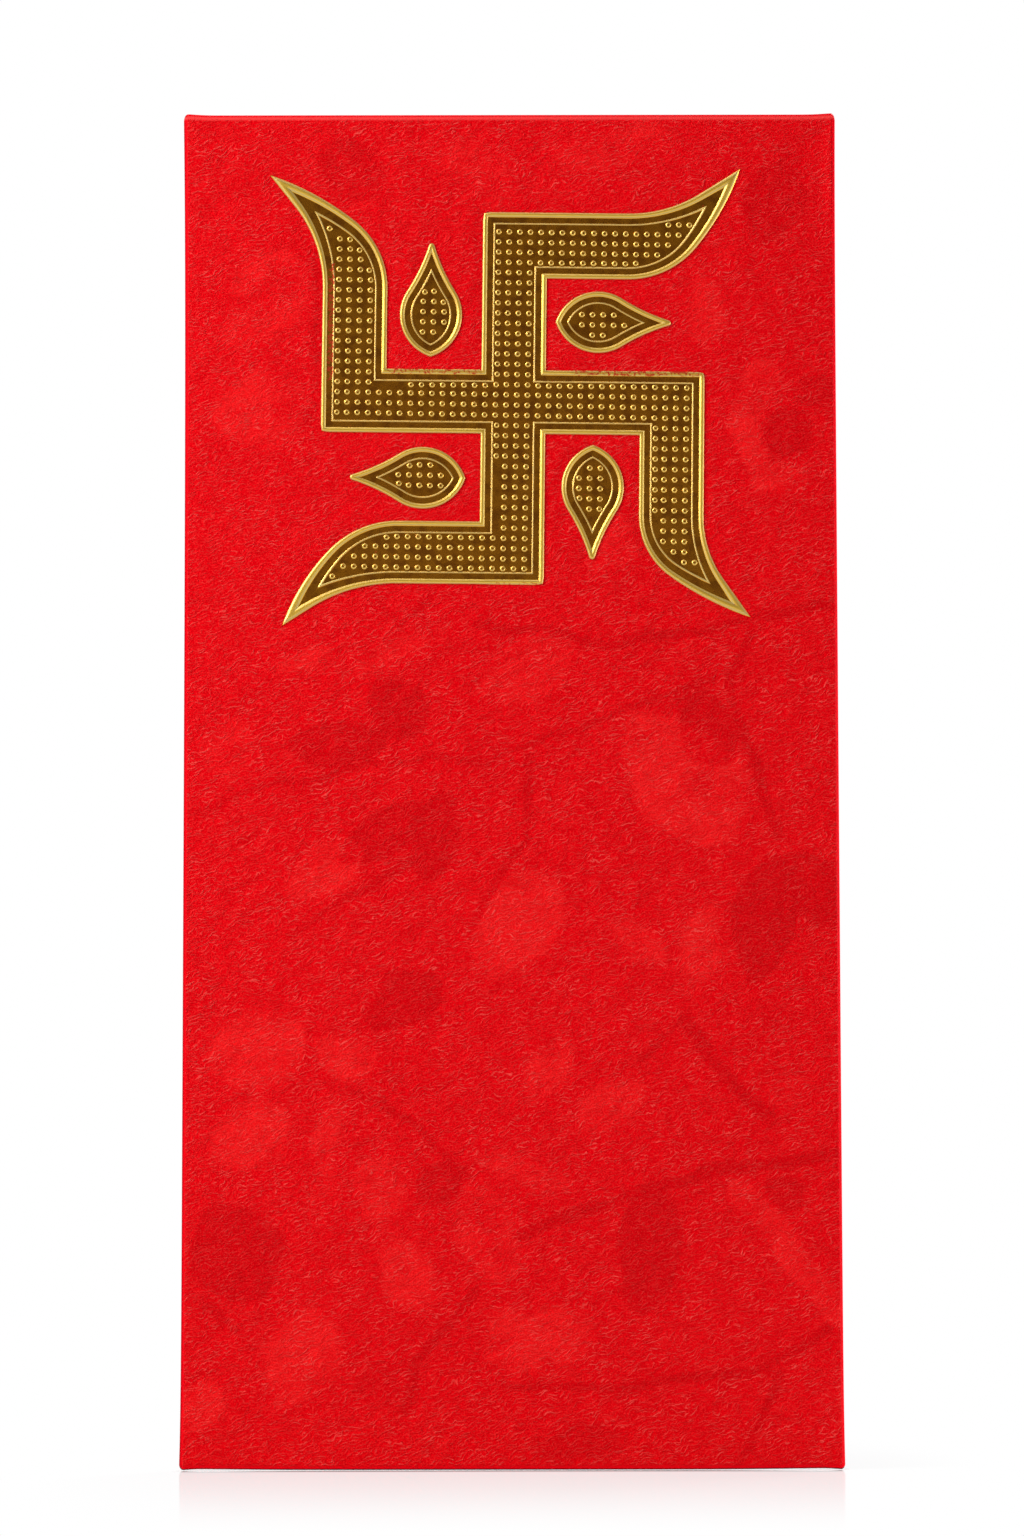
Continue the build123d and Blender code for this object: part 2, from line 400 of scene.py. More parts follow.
def leaf_tone(u, v, leaf):
    """One leaf's part of the print."""
    across, up, length, breadth, degrees, strength = leaf
    du = wrapped(u - across * print_width, print_width)
    dv = wrapped(v - up * height, height)
    along, side = turned(du, dv, radians(degrees))
    along = along / (length * print_width / 2)
    side = np.abs(side)
    rounded = np.clip(1 - along**2, 0, 1) ** leaf_bluntness
    leaf_half = breadth * print_width / 2 * rounded * (1 + leaf_skew_share * along)
    edge = light_leaf_edge if strength > 0 else leaf_edge
    inside = smooth_step((leaf_half - side) / edge + 0.5)
    inside *= smooth_step((1 - np.abs(along)) / leaf_tip_share)
    return strength * inside * (1 - vein_share * bell(side, vein_breadth))


def twig_tone(u, v, twig):
    """One twig's part of the print."""
    breadth, strength, places = twig
    nearest = np.full_like(u, print_width)
    for (u0, v0), (u1, v1) in zip(places, places[1:]):
        run_u = (u1 - u0) * print_width
        run_v = (v1 - v0) * height
        du = wrapped(u - (u0 + u1) / 2 * print_width, print_width) + run_u / 2
        dv = wrapped(v - (v0 + v1) / 2 * height, height) + run_v / 2
        share = np.clip((du * run_u + dv * run_v) / (run_u**2 + run_v**2), 0, 1)
        nearest = np.minimum(nearest, np.hypot(du - share * run_u, dv - share * run_v))
    twig_half = twig_breadth_share * breadth * print_width / 2
    return strength * smooth_step((twig_half - nearest) / twig_edge + 0.5)


def print_tone(u, v):
    """How light or dark the leaf print is at places on the flat sheet, between -1 and 1."""
    sway_u = lattice_noise(u / print_sway_size, v / print_sway_size, sway_across_start)
    sway_v = lattice_noise(u / print_sway_size, v / print_sway_size, sway_up_start)
    u = u + print_sway * sway_u
    v = v + print_sway * sway_v
    tone = np.zeros_like(u)
    for leaf in leaf_shares:
        tone += leaf_tone(u, v, leaf)
    for twig in twig_shares:
        tone += twig_tone(u, v, twig)
    return np.clip(tone, -1, 1)


def arc_from(start, heading, turn, radius, cells):
    """Points and headings along an arc that turns left, with its first point left off."""
    headings = heading + steps(turn, cells)
    side = start[0] + radius * (np.sin(headings) - sin(heading))
    out = start[1] - radius * (np.cos(headings) - cos(heading))
    return np.column_stack((side, out)), headings


def run_lengths(path):
    """How far along a path each of its points is."""
    return np.append(0, np.cumsum(np.hypot(*np.diff(path, axis=0).T)))


def inset_edge(points, headings, inset, inward, tip_at):
    """Moves an edge into the foil, a little further towards its tip, where the rim is broader."""
    lengths = run_lengths(points)
    share = lengths / lengths[tip_at]
    moved = inset * (1 + tip_widening_share * share**2)
    return points + inward * np.column_stack((np.sin(headings) * moved, -np.cos(headings) * moved))


def outer_bend(inset, reach, tip_run, tip_rise, bend_share):
    """A hook's outer edge at an inset: an arc and a straight run that goes on past its tip."""
    tangent = bend_share * tip_run
    turn = atan2(tip_rise, tip_run - tangent)
    start = (hook_straight, reach)
    arc, headings = arc_from(start, 0, turn, tangent / tan(turn / 2), bend_cells)
    straight = np.hypot(tip_run - tangent, tip_rise) - tangent
    lengths = steps(outer_overrun_share * straight, tip_cells)[:, None]
    edge = np.vstack((start, arc, arc[-1] + lengths * (cos(turn), sin(turn))))
    headings = np.concatenate(((0,), headings, np.full(tip_cells, turn)))
    tip_at = bend_cells + round(tip_cells / outer_overrun_share)
    return inset_edge(edge, headings, inset, 1, tip_at)


def inner_bend(inset, reach, hook_width, tip_run, tip_rise):
    """A hook's inner edge at an inset: two arcs, of which the second goes on past its tip."""
    start = np.array((hook_straight, reach - hook_width))
    rise = tip_rise + hook_width
    middle = np.array((middle_run_share * tip_run, middle_rise_share * rise))
    rest = np.array((tip_run, rise)) - middle
    first_turn = 2 * angle_of(middle)
    half_turn = angle_of(rest) - first_turn
    first, first_headings = arc_from(start, 0, first_turn, middle[0] / sin(first_turn), bend_cells)
    last_radius = np.hypot(*rest) / (2 * sin(half_turn))
    last_turn = 2 * inner_overrun_share * half_turn
    last, last_headings = arc_from(first[-1], first_turn, last_turn, last_radius, tip_cells)
    headings = np.concatenate(((0,), first_headings, last_headings))
    tip_at = bend_cells + round(tip_cells / inner_overrun_share)
    return inset_edge(np.vstack((start, first, last)), headings, inset, -1, tip_at)


def bend_outline(inset, reach, hook_width, tip_run, tip_rise, bend_share):
    """The two curved edges of a hook at an inset, from its straight part to its tip, as side and out."""
    outer = outer_bend(inset, reach, tip_run, tip_rise, bend_share)
    inner = inner_bend(inset, reach, hook_width, tip_run, tip_rise)
    above = inner[:, 1] - np.interp(inner[:, 0], outer[:, 0], outer[:, 1])
    cross = int(np.argmax(above > 0))
    share = above[cross - 1] / (above[cross - 1] - above[cross])
    tip = inner[cross - 1] + share * (inner[cross] - inner[cross - 1])
    outer = np.vstack((outer[outer[:, 0] < tip[0]], tip))
    inner = np.vstack((inner[:cross], tip))
    return outer, inner


def resampled(path, cells):
    """Evenly spaced points along a path, with its last point left off."""
    lengths = run_lengths(path)
    at = np.linspace(0, lengths[-1], cells + 1)[:-1]
    return np.column_stack([np.interp(at, lengths, path[:, axis]) for axis in (0, 1)])


def quarter_turned(points, turns):
    """Turns flat points clockwise by quarter turns."""
    for _ in range(turns):
        points = np.column_stack((points[:, 1], -points[:, 0]))
    return points


def on_circle(angles):
    """Points of a circle of radius 1 round the middle."""
    return np.column_stack((np.cos(angles), np.sin(angles)))


def arm_start(half_bar, outer_edge, rounded):
    """An arm's first two edges, up to and away from its rounded outer corner."""
    turn = np.linspace(0, pi / 4, corner_cells + 1)
    near = rounded * (1 - np.cos(turn))
    far = rounded * (1 - np.sin(turn))
    corner_up = np.column_stack((near - half_bar, outer_edge - far))
    corner_over = np.column_stack((far - half_bar, outer_edge - near))
    up = np.vstack(((-half_bar, half_bar), corner_up))
    over = np.vstack((corner_over[::-1], (hook_straight, outer_edge)))
    return up, over


def swastik_loop(inset):
    """The swastik's outline moved inwards, clockwise from the inner corner left of its top arm."""
    half_bar = bar_width / 2 - inset
    points = []
    for quarter_turns, (reach, hook_width, tip_run, tip_rise, bend_share) in enumerate(arms):
        outer, inner = bend_outline(inset, reach, hook_width, tip_run, tip_rise, bend_share)
        up, over = arm_start(half_bar, reach - inset, max(foil_corner_radius - inset, 0))
        inner_edge = reach - hook_width + inset
        arm = np.vstack((
            resampled(up, bar_cells),
            resampled(over, edge_cells),
            resampled(outer, hook_cells),
            resampled(inner[::-1], hook_cells),
            resampled(np.array([(hook_straight, inner_edge), (half_bar, inner_edge)]), edge_cells),
            resampled(np.array([(half_bar, inner_edge), (half_bar, half_bar)]), bar_cells),
        ))
        points.append(quarter_turned(arm, quarter_turns))
    return np.vstack(points)


def flame_centres():
    """The middles of a flame's round body, of the hollow arc above it and of its tip."""
    body = np.array((flame_widest_at, flame_half_width - flame_round_radius))
    tip = np.array((flame_length - flame_tip_radius, 0.0))
    body_reach = flame_round_radius + flame_hollow_radius
    tip_reach = flame_tip_radius + flame_hollow_radius
    apart = np.hypot(*(tip - body))
    along = (apart**2 + body_reach**2 - tip_reach**2) / (2 * apart)
    forward = (tip - body) / apart
    across = np.array((-forward[1], forward[0]))
    hollow = body + forward * along + across * (body_reach**2 - along**2) ** 0.5
    return body, hollow, tip


def flame_loop(inset):
    """A flame's outline moved inwards, along X from its blunt end, clockwise."""
    body, hollow, tip = flame_centres()
    round_radius = flame_round_radius - inset
    hollow_radius = flame_hollow_radius + inset
    blunt_angle = pi - np.arcsin(-body[1] / round_radius)
    shoulder_angle = angle_of(hollow - body)
    angles = np.linspace(blunt_angle, shoulder_angle, flame_body_cells + 1)[:-1]
    upper = [body + round_radius * on_circle(angles)]

    pointed = inset > flame_tip_radius
    end = angle_of(tip - hollow)
    if pointed:
        end = -np.arcsin(hollow[1] / hollow_radius)
        end = end if end < -pi / 2 else -pi - end
    angles = np.linspace(shoulder_angle - pi, end, flame_hollow_cells + 1)[:-1]
    upper.append(hollow + hollow_radius * on_circle(angles))

    if pointed:
        last_x = hollow[0] + hollow_radius * cos(end)
        upper.append(np.tile((last_x, 0.0), (flame_tip_cells + 1, 1)))
    else:
        angles = np.linspace(angle_of(hollow - tip), 0, flame_tip_cells + 1)
        upper.append(tip + (flame_tip_radius - inset) * on_circle(angles))
    upper = np.vstack(upper)
    lower = upper[-2:0:-1] * (1, -1)
    return np.vstack((upper, lower))


def placed_flame(quarter_turns, side, start):
    """A function that gives a flame's loop in the emblem's own axes."""
    def loop(inset):
        points = flame_loop(inset)
        points = np.column_stack((-side - points[:, 1], start + points[:, 0]))
        return quarter_turned(points, quarter_turns)
    return loop


emblem_loops = {"swastik_foil": swastik_loop}
for quarter_turns, (place, (side, start)) in enumerate(flame_places.items()):
    emblem_loops["flame_foil_" + place] = placed_flame(quarter_turns, side, start)


def on_front(points):
    """Turns emblem points to X and Z on the front."""
    x, z = turned(*points.T, emblem_tilt)
    return np.column_stack((emblem_x + x, emblem_z + z))


def distance_to_loop(points, loop):
    """The distance from each point to a closed loop, and whether the point is inside it."""
    nearest = np.full(len(points), np.inf)
    inside = np.zeros(len(points), bool)
    for start, end in zip(loop, np.roll(loop, -1, axis=0)):
        run = end - start
        length_squared = run @ run
        if length_squared == 0:
            continue
        offset = points - start
        share = np.clip(offset @ run / length_squared, 0, 1)
        nearest = np.minimum(nearest, np.hypot(*(offset - share[:, None] * run).T))
        straddles = (start[1] > points[:, 1]) != (end[1] > points[:, 1])
        if start[1] != end[1]:
            cross_x = start[0] + (points[:, 1] - start[1]) / (end[1] - start[1]) * run[0]
            inside ^= straddles & (points[:, 0] < cross_x)
    return nearest, inside


def nudged_in(centres, field):
    """Moves bead centres that are close to the field's edge away from it, so that whole beads fit."""
    for _ in range(bead_nudges):
        distance, _ = distance_to_loop(centres, field)
        away = []
        for axis in (0, 1):
            probe = np.zeros(2)
            probe[axis] = bead_nudge_probe
            ahead, _ = distance_to_loop(centres + probe, field)
            away.append((ahead - distance) / bead_nudge_probe)
        short = np.clip(bead_radius + bead_line_gap - distance, 0, None)
        centres = centres + bead_nudge_share * short[:, None] * np.column_stack(away)
    return centres


def front_relief(x, z):
    """How far the front paper stands forward of its flat plane at each place."""
    across = np.clip(np.abs(x) / panel_half_width, 0, 1)
    up = np.clip(np.abs(2 * z / height - 1), 0, 1)
    puff = front_puff * (1 - across**puff_side_power) * (1 - up**puff_end_power)
    dent = bell(np.hypot(x - dent_place[0], z - dent_place[1]), dent_size)
    return puff - dent_depth * dent


def crinkle(x, z):
    """Fine creases in the paper, drawn out along a rising diagonal."""
    along, side = turned(x, z, crinkle_turn)
    along = along / (crinkle_size * crinkle_stretch)
    side = side / crinkle_size
    bend_along, bend_side = crinkle_bend_scales
    bend = lattice_noise(along * bend_along, side * bend_side, crinkle_bend_start)
    bent = side + crinkle_bend_share * bend
    ridges = 1 - 2 * np.abs(lattice_noise(along, bent, crinkle_ridge_start))
    fine_along, fine_side = crinkle_fine_scales
    fine = lattice_noise(along * fine_along, bent * fine_side, crinkle_fine_start)
    return crinkle_height * (ridges + crinkle_fine_share * fine)


def moat(x, z):
    """How far the die has pressed the paper down beside the foil."""
    depth = np.zeros_like(x)
    points = np.column_stack((x, z))
    near = (x > swastik_low[0] - foil_moat_reach) & (x < swastik_high[0] + foil_moat_reach)
    near &= (z > swastik_low[2] - foil_moat_reach) & (z < swastik_high[2] + foil_moat_reach)
    for loop in emblem_loops.values():
        distance, inside = distance_to_loop(points[near], on_front(loop(0.0))[::2])
        pressed = np.where(inside, 1.0, bell(distance, foil_moat_width))
        depth[near] = np.maximum(depth[near], pressed)
    return depth


def fold_path(distance, radius, flat):
    """How far past its crease line and how deep behind the front a sheet is, this far into a fold."""
    quarter = pi / 2 * radius
    first = np.clip(distance, 0, quarter) / radius
    strip = np.clip(distance - quarter, 0, flat)
    second = np.clip(distance - quarter - flat, 0, quarter) / radius
    run = np.maximum(distance - 2 * quarter - flat, 0)
    past = radius * np.sin(first) - radius * (1 - np.cos(second)) - run
    depth = radius * (1 - np.cos(first)) + strip + radius * np.sin(second)
    return past, depth


def settled(points):
    """Pulls the sheet's edges in between its corners, and gives its front its puff and creases."""
    x, y, z = points.T.copy()
    from_top = np.clip(height - z, 0, None)
    from_bottom = np.clip(z, 0, None)
    from_end = np.minimum(from_top, from_bottom)
    from_side = np.clip(half_width - np.abs(x), 0, None)
    outwards = np.full_like(x, -side_pull)
    for side, end, amount, reach in flares:
        from_corner = from_top if end > 0 else from_bottom
        outwards += amount * np.exp(-from_corner / reach) * (np.sign(x) == side)
    pulled_x = x + np.sign(x) * outwards * (np.abs(x) / half_width) ** edge_pull_power
    ear = ear_height * bell(from_side, ear_size)
    pulled_z = z + ear * np.clip(1 - from_top / ear_reach, 0, 1) ** 2
    past_ear = 1 - bell(from_side, bottom_ear_size)
    lift = bottom_lift * past_ear * bell(from_side, bottom_lift_reach)
    pulled_z += lift * np.clip(1 - from_bottom / ear_reach, 0, 1) ** 2
    on_front_share = np.clip(1 - (y - front_y) / side_radius, 0, 1)
    pressed = moat(x, z)
    forward = front_relief(x, z) + crinkle(x, z) * (1 - pressed) - foil_moat_depth * pressed
    fade = smooth_step(np.minimum(from_side, from_end) / ear_size)
    moved_y = y - on_front_share * forward * fade
    return np.column_stack((pulled_x, moved_y, pulled_z))


def grid_faces(columns, rows, first=0):
    """Quads of a grid of points that is stored column by column, seen from its outer side."""
    index = first + np.arange(columns * rows).reshape(columns, rows)
    corners = (index[:-1, :-1], index[1:, :-1], index[1:, 1:], index[:-1, 1:])
    return np.stack([c.ravel() for c in corners], axis=1)


def add_object(name, data):
    """A new object in the scene."""
    made = bpy.data.objects.new(name, data)
    bpy.context.scene.collection.objects.link(made)
    return made


def finish_mesh(name, points, faces, numbers, material, sharp_angle):
    """A mesh object with smooth faces, sharp folds kept, and named numbers on its points."""
    mesh = bpy.data.meshes.new(name)
    mesh.from_pydata([tuple(p) for p in points], [], [tuple(int(i) for i in f) for f in faces])
    mesh.validate()
    for label, values in numbers.items():
        kind, field = ("FLOAT_VECTOR", "vector") if np.ndim(values) == 2 else ("FLOAT", "value")
        attribute = mesh.attributes.new(label, kind, "POINT")
        attribute.data.foreach_set(field, np.asarray(values, np.float32).ravel())
    mesh.shade_smooth()
    mesh.set_sharp_from_angle(angle=sharp_angle)
    mesh.materials.append(material)
    return add_object(name, mesh)


def point_normals(points, faces):
    """The mean direction that the faces round each point look in."""
    quads = points[faces]
    normals = np.cross(quads[:, 2] - quads[:, 0], quads[:, 3] - quads[:, 1])
    total = np.zeros_like(points)
    for corner in range(4):
        np.add.at(total, faces[:, corner], normals)
    return total / np.linalg.norm(total, axis=1)[:, None]


def quarter_share(past):
    """How much of a fold's first quarter turn lies behind a place, from its distance in radii."""
    return np.clip(past, 0, None) / (pi / 2)


def closed_sheet(points, faces):
    """Gives a surface its paper thickness, and says which of its points are at its edge."""
    count = len(points)
    inner = points - paper_thickness * point_normals(points, faces)
    edges = np.vstack([faces[:, [k, (k + 1) % 4]] for k in range(4)])
    keys = np.sort(edges, axis=1)
    _, first_seen, uses = np.unique(keys, axis=0, return_index=True, return_counts=True)
    rim = edges[first_seen[uses == 1]]
    rim_points = np.unique(rim)
    core = (points[rim_points] + inner[rim_points]) / 2
    core_at = np.zeros(count, int)
    core_at[rim_points] = 2 * count + np.arange(len(rim_points))
    start, end = rim.T
    outer_walls = np.column_stack((end, start, core_at[start], core_at[end]))
    inner_walls = np.column_stack((core_at[end], core_at[start], start + count, end + count))
    all_faces = np.vstack((faces, faces[:, ::-1] + count, outer_walls, inner_walls))
    return np.vstack((points, inner, core)), all_faces, rim_points


def sheet_numbers(flat_places, rim_points):
    """What the paper's material reads at the points of its outer side, its inner side and its cut edges."""
    count = len(flat_places)
    u, v = flat_places.T
    past_side = (np.abs(u) - panel_half_width) / side_radius
    past_top = (v - hinge_z) / top_radius
    past_bottom = (panel_bottom - v) / bottom_radius
    printed = {
        "print_tone": print_tone(u, v),
        "printed_side": np.ones(count),
        "fold_share": quarter_share(np.maximum.reduce((past_side, past_top, past_bottom))),
        "under_share": quarter_share(past_bottom),
        "over_share": quarter_share(past_top),
        "left_share": quarter_share(past_side * (u < 0)),
    }
    none = np.zeros(count + len(rim_points))
    numbers = {label: np.append(values, none) for label, values in printed.items()}
    numbers["cut_edge"] = np.append(np.zeros(2 * count), np.ones(len(rim_points)))
    flat_mm = np.column_stack((flat_places * mm_per_metre, np.zeros(count)))
    numbers["sheet_mm"] = np.vstack((flat_mm, flat_mm, flat_mm[rim_points]))
    return numbers


def sheet_piece(name, points, faces, flat_places, material):
    """Gives a folded surface its paper thickness, with closed edges, and its print."""
    points, faces, rim_points = closed_sheet(points, faces)
    numbers = sheet_numbers(flat_places, rim_points)
    return finish_mesh(name, points, faces, numbers, material, paper_sharp_angle)


def front_sheet(material):
    """The front panel with its side folds and side tabs, as one sheet."""
    fold_length = pi * side_radius
    tab_length = panel_half_width - tab_low[0]
    front = np.linspace(-panel_half_width, panel_half_width, front_columns + 1)
    fold = panel_half_width + steps(fold_length, fold_cells)
    tab = fold[-1] + steps(tab_length, tab_columns)
    u = np.concatenate((-tab[::-1], -fold[::-1], front, fold, tab))
    v = np.linspace(panel_bottom, hinge_z, front_rows + 1)
    flat_u, flat_v = grid_places(u, v)
    beyond = np.maximum(np.abs(flat_u) - panel_half_width, 0)
    past, depth = fold_path(beyond, side_radius, 0)
    x = np.sign(flat_u) * (np.minimum(np.abs(flat_u), panel_half_width) + past)
    slope = tab_end_slope * np.clip((beyond - fold_length / 2) / (fold_length / 2 + tab_length), 0, 1)
    middle = (panel_bottom + hinge_z) / 2
    z = middle + (flat_v - middle) * (1 - slope / (hinge_z - middle))
    points = settled(np.column_stack((x, front_y + depth, z)))
    faces = grid_faces(len(u), len(v))
    return sheet_piece("paper_front", points, faces, np.column_stack((flat_u, flat_v)), material)


def corner_fold(u, into, radius):
    """X, past and depth in an end fold's first quarter turn, which rounds into the side folds."""
    side = np.maximum(np.abs(u) - panel_half_width, 0) / (pi / 2 * side_radius)
    over = into / (pi / 2 * radius)
    turn = np.maximum(side, over) * pi / 2
    way = np.arctan2(over, side)
    in_corner = side > 0
    out = np.where(in_corner, side_radius * np.sin(turn) * np.cos(way), 0)
    x = np.clip(u, -panel_half_width, panel_half_width) + np.sign(u) * out
    past = radius * np.sin(turn) * np.where(in_corner, np.sin(way), 1)
    depth_radius = np.where(in_corner, side_radius * np.cos(way) ** 2 + radius * np.sin(way) ** 2, radius)
    return x, past, depth_radius * (1 - np.cos(turn))


def wing_faces(front_places, corner_places, first_rows, later_rows):
    """Faces of a wing's first rows, which go round the corners, of its later rows, and between both."""
    wide_places = front_places + 2 * corner_places
    first_later = wide_places * first_rows
    place = np.arange(front_places)
    last = (corner_places + place) * first_rows + first_rows - 1
    following = first_later + place * later_rows
    joining = np.column_stack((last[:-1], last[1:], following[1:], following[:-1]))
    later = grid_faces(front_places, later_rows, first_later)
    return np.vstack((grid_faces(wide_places, first_rows), joining, later))


def wing_sheet(name, radius, total_depth, crease_z, direction, rows_after, panel_length, shape, material):
    """A panel that folds over the front's bottom (direction -1) or top (1) edge and lies behind it."""
    quarter = pi / 2 * radius
    quarter_cells = fold_cells // 2
    flat = total_depth - 2 * radius
    fold_length = 2 * quarter + flat
    front = np.linspace(-panel_half_width, panel_half_width, front_columns + 1)
    corner = panel_half_width + steps(pi / 2 * side_radius, quarter_cells)
    first_rows = np.linspace(0, quarter, quarter_cells + 1)
    later_rows = np.concatenate((
        quarter + steps(flat, strip_cells) if flat > 0 else np.empty(0),
        quarter + flat + steps(quarter, quarter_cells),
        fold_length + steps(panel_length, rows_after),
    ))

    wide_u, wide_e = grid_places(np.concatenate((-corner[::-1], front, corner)), first_rows)
    wide_x, wide_past, wide_depth = corner_fold(wide_u, wide_e, radius)
    later_u, later_e = grid_places(front, later_rows)
    panel_share = np.clip((later_e - fold_length) / panel_length, 0, 1)
    later_x, shaped_share = shape(later_u, panel_share)
    later_e = np.where(later_e > fold_length, fold_length + shaped_share * panel_length, later_e)
    later_past, later_depth = fold_path(later_e, radius, flat)

    y = front_y + np.append(wide_depth, later_depth)
    z = crease_z + direction * np.append(wide_past, later_past)
    points = settled(np.column_stack((np.append(wide_x, later_x), y, z)))
    flat_v = crease_z + direction * np.append(wide_e, later_e)
    flat_places = np.column_stack((np.append(wide_u, later_x), flat_v))
    faces = wing_faces(len(front), len(corner), len(first_rows), len(later_rows))
    return sheet_piece(name, points, faces[:, ::-1] if direction < 0 else faces, flat_places, material)


def back_shape(u, share):
    """Narrows the back panel to its own width, and cuts its mouth's corners and thumb notch."""
    edge = back_high[0]
    grow = smooth_step(share * back_narrowing_rate)
    x = u * (1 + grow * (edge / panel_half_width - 1))
    length = back_high[2] - panel_bottom
    centre_rise = notch_radius - notch_depth
    notch = np.sqrt(np.clip(notch_radius**2 - x**2, 0, None)) - centre_rise
    corner_in = np.clip(np.abs(x) - (edge - mouth_corner), 0, mouth_corner)
    corner = mouth_corner - np.sqrt(mouth_corner**2 - corner_in**2)
    cut = np.maximum(notch, corner)
    return x, share * (1 - cut / length)


def flap_shape(u, share):
    """Tapers the flap and rounds its corners."""
    length = hinge_z - flap_low[2]
    taper_share = flap_taper / panel_half_width
    tip_half = panel_half_width - flap_taper
    corner_in = np.clip(np.abs(u) * (1 - taper_share) - (tip_half - flap_corner), 0, flap_corner)
    corner = flap_corner - np.sqrt(flap_corner**2 - corner_in**2)
    shaped_share = share * (1 - corner / length)
    return u * (1 - shaped_share * taper_share), shaped_share


def foil_wear(points):
    """How worn the foil is at places in the emblem's own axes, from 0 to 1."""
    across, up = points.T / emblem_reach
    wear = np.zeros(len(points))
    for left, right, low, high, strength in worn_shares:
        inwards = np.minimum.reduce((across - left, right - across, up - low, high - up))
        wear = np.maximum(wear, strength * smooth_step(inwards / worn_edge_share + 0.5))
    return wear


field_height = foil_profile[-1][1]
bead_circle = on_circle(np.arange(bead_sides) * 2 * pi / bead_sides)


class FoilMesh:
    """A foil's points on the flat, their heights and how much painted highlight their gold gets, and its
    faces.
    """

    def __init__(self):
        self.points = []
        self.heights = []
        self.highlight_shares = []
        self.faces = []
        self.count = 0

    def add(self, points, level, gold_highlight):
        """Adds points that share a height and a share of painted highlight, and gives the first one's
        index.
        """
        first = self.count
        self.points.append(points)
        self.heights.append(np.full(len(points), level))
        self.highlight_shares.append(np.full(len(points), gold_highlight))
        self.count += len(points)
        return first


def filled(points, outlines):
    """Fills flat outlines: new points, faces, and which points and outlines these came from."""
    solved = delaunay_2d_cdt([Vector(p) for p in points], [], outlines, fill_inside, same_place)
    return np.array([tuple(p) for p in solved[0]]), solved[2], solved[3], solved[5]


def add_rings(mesh, loop):
    """The foil's rim, band and line, from a loop at each inset. Gives the last loop, the field's edge."""
    before = None
    for inset, level, gold_highlight in foil_profile:
        ring = loop(inset)
        first = mesh.add(ring, level, gold_highlight)
        if before is not None:
            index = np.arange(len(ring))
            following = (index + 1) % len(ring)
            quads = (before + index, first + index, first + following, before + following)
            mesh.faces += np.column_stack(quads).tolist()
        before = first
    return ring


def bead_places(field):
    """The centres and radii of the beads that fit in the field."""
    steps = np.arange(-bead_half_count, bead_half_count) + 0.5
    x, z = grid_places(steps * bead_pitch_x, steps * bead_pitch_z)
    centres = np.column_stack(turned(x, z, bead_turn)) + bead_shift
    distance, inside = distance_to_loop(centres, field)
    centres = nudged_in(centres[inside & (distance > bead_least_gap)], field)
    distance, _ = distance_to_loop(centres, field)
    return centres, np.minimum(bead_radius, distance - bead_line_gap)


def add_field(mesh, field, centres, radii):
    """The flat field round the beads. Gives the points of each bead's foot."""
    outlines = [list(reversed(range(len(field))))]
    points = [field]
    for bead, (centre, radius) in enumerate(zip(centres, radii)):
        start = len(field) + bead_sides * bead
        outlines.append(list(range(start, start + bead_sides)))
        points.append(centre + radius * bead_circle)
    points, faces, point_origins, face_origins = filled(np.vstack(points), outlines)
    first = mesh.add(points, field_height, 0.0)
    mesh.faces += [[first + i for i in face] for face, origin in zip(faces, face_origins) if origin == [0]]
    made_from = {old: first + new for new, origins in enumerate(point_origins) for old in origins}
    return [[made_from[i] for i in outline] for outline in outlines[1:]]


def add_bead(mesh, foot, centre, radius):
    """A round bead on its foot, with a small hollow in its top."""
    lower = foot
    following = [(k + 1) % bead_sides for k in range(bead_sides)]
    for radius_share, height_share, gold_highlight in bead_ring_shares:
        level = field_height + height_share * bead_height * radius / bead_radius
        first = mesh.add(centre + radius_share * radius * bead_circle, level, gold_highlight)
        upper = list(range(first, first + bead_sides))
        mesh.faces += [[lower[k], lower[f], upper[f], upper[k]] for k, f in enumerate(following)]
        lower = upper
    level = field_height + bead_centre_share * bead_height * radius / bead_radius
    top = mesh.add(centre[None, :], level, 0.0)
    mesh.faces += [[lower[k], lower[f], top] for k, f in enumerate(following)]


def add_underside(mesh, outline, level):
    """The foil's closed underside, pressed into the paper."""
    points, faces, _, _ = filled(outline, [list(reversed(range(len(outline))))])
    first = mesh.add(points, level, 0.0)
    mesh.faces += [[first + i for i in reversed(face)] for face in faces]


def foil_piece(name, loop, material):
    """A stamped foil with its rim, band, line and beaded field, laid on the front."""
    mesh = FoilMesh()
    field = add_rings(mesh, loop)
    centres, radii = bead_places(field)
    for foot, centre, radius in zip(add_field(mesh, field, centres, radii), centres, radii):
        add_bead(mesh, foot, centre, radius)
    add_underside(mesh, mesh.points[0], foil_profile[0][1])

    flat = np.vstack(mesh.points)
    wear = foil_wear(flat)
    raised = np.concatenate(mesh.heights)
    raised -= wear * np.clip(raised - worn_height, 0, None)
    x, z = on_front(flat).T
    surface = front_y - front_relief(x, z) + foil_moat_depth
    numbers = {
        "foil_height_mm": raised * mm_per_metre,
        "highlight_gold": np.concatenate(mesh.highlight_shares),
        "foil_wear": wear,
        "foil_mm": np.column_stack((flat * mm_per_metre, np.zeros(len(flat)))),
    }
    points = np.column_stack((x, surface - raised, z))
    piece = finish_mesh(name, points, mesh.faces, numbers, material, foil_sharp_angle)
    join_points(piece)
    return piece


def join_points(piece):
    """Joins points of a mesh that share a place, and turns its faces outwards."""
    work = bmesh.new()
    work.from_mesh(piece.data)
    bmesh.ops.remove_doubles(work, verts=work.verts, dist=same_place)
    bmesh.ops.recalc_face_normals(work, faces=work.faces)
    work.to_mesh(piece.data)
    work.free()


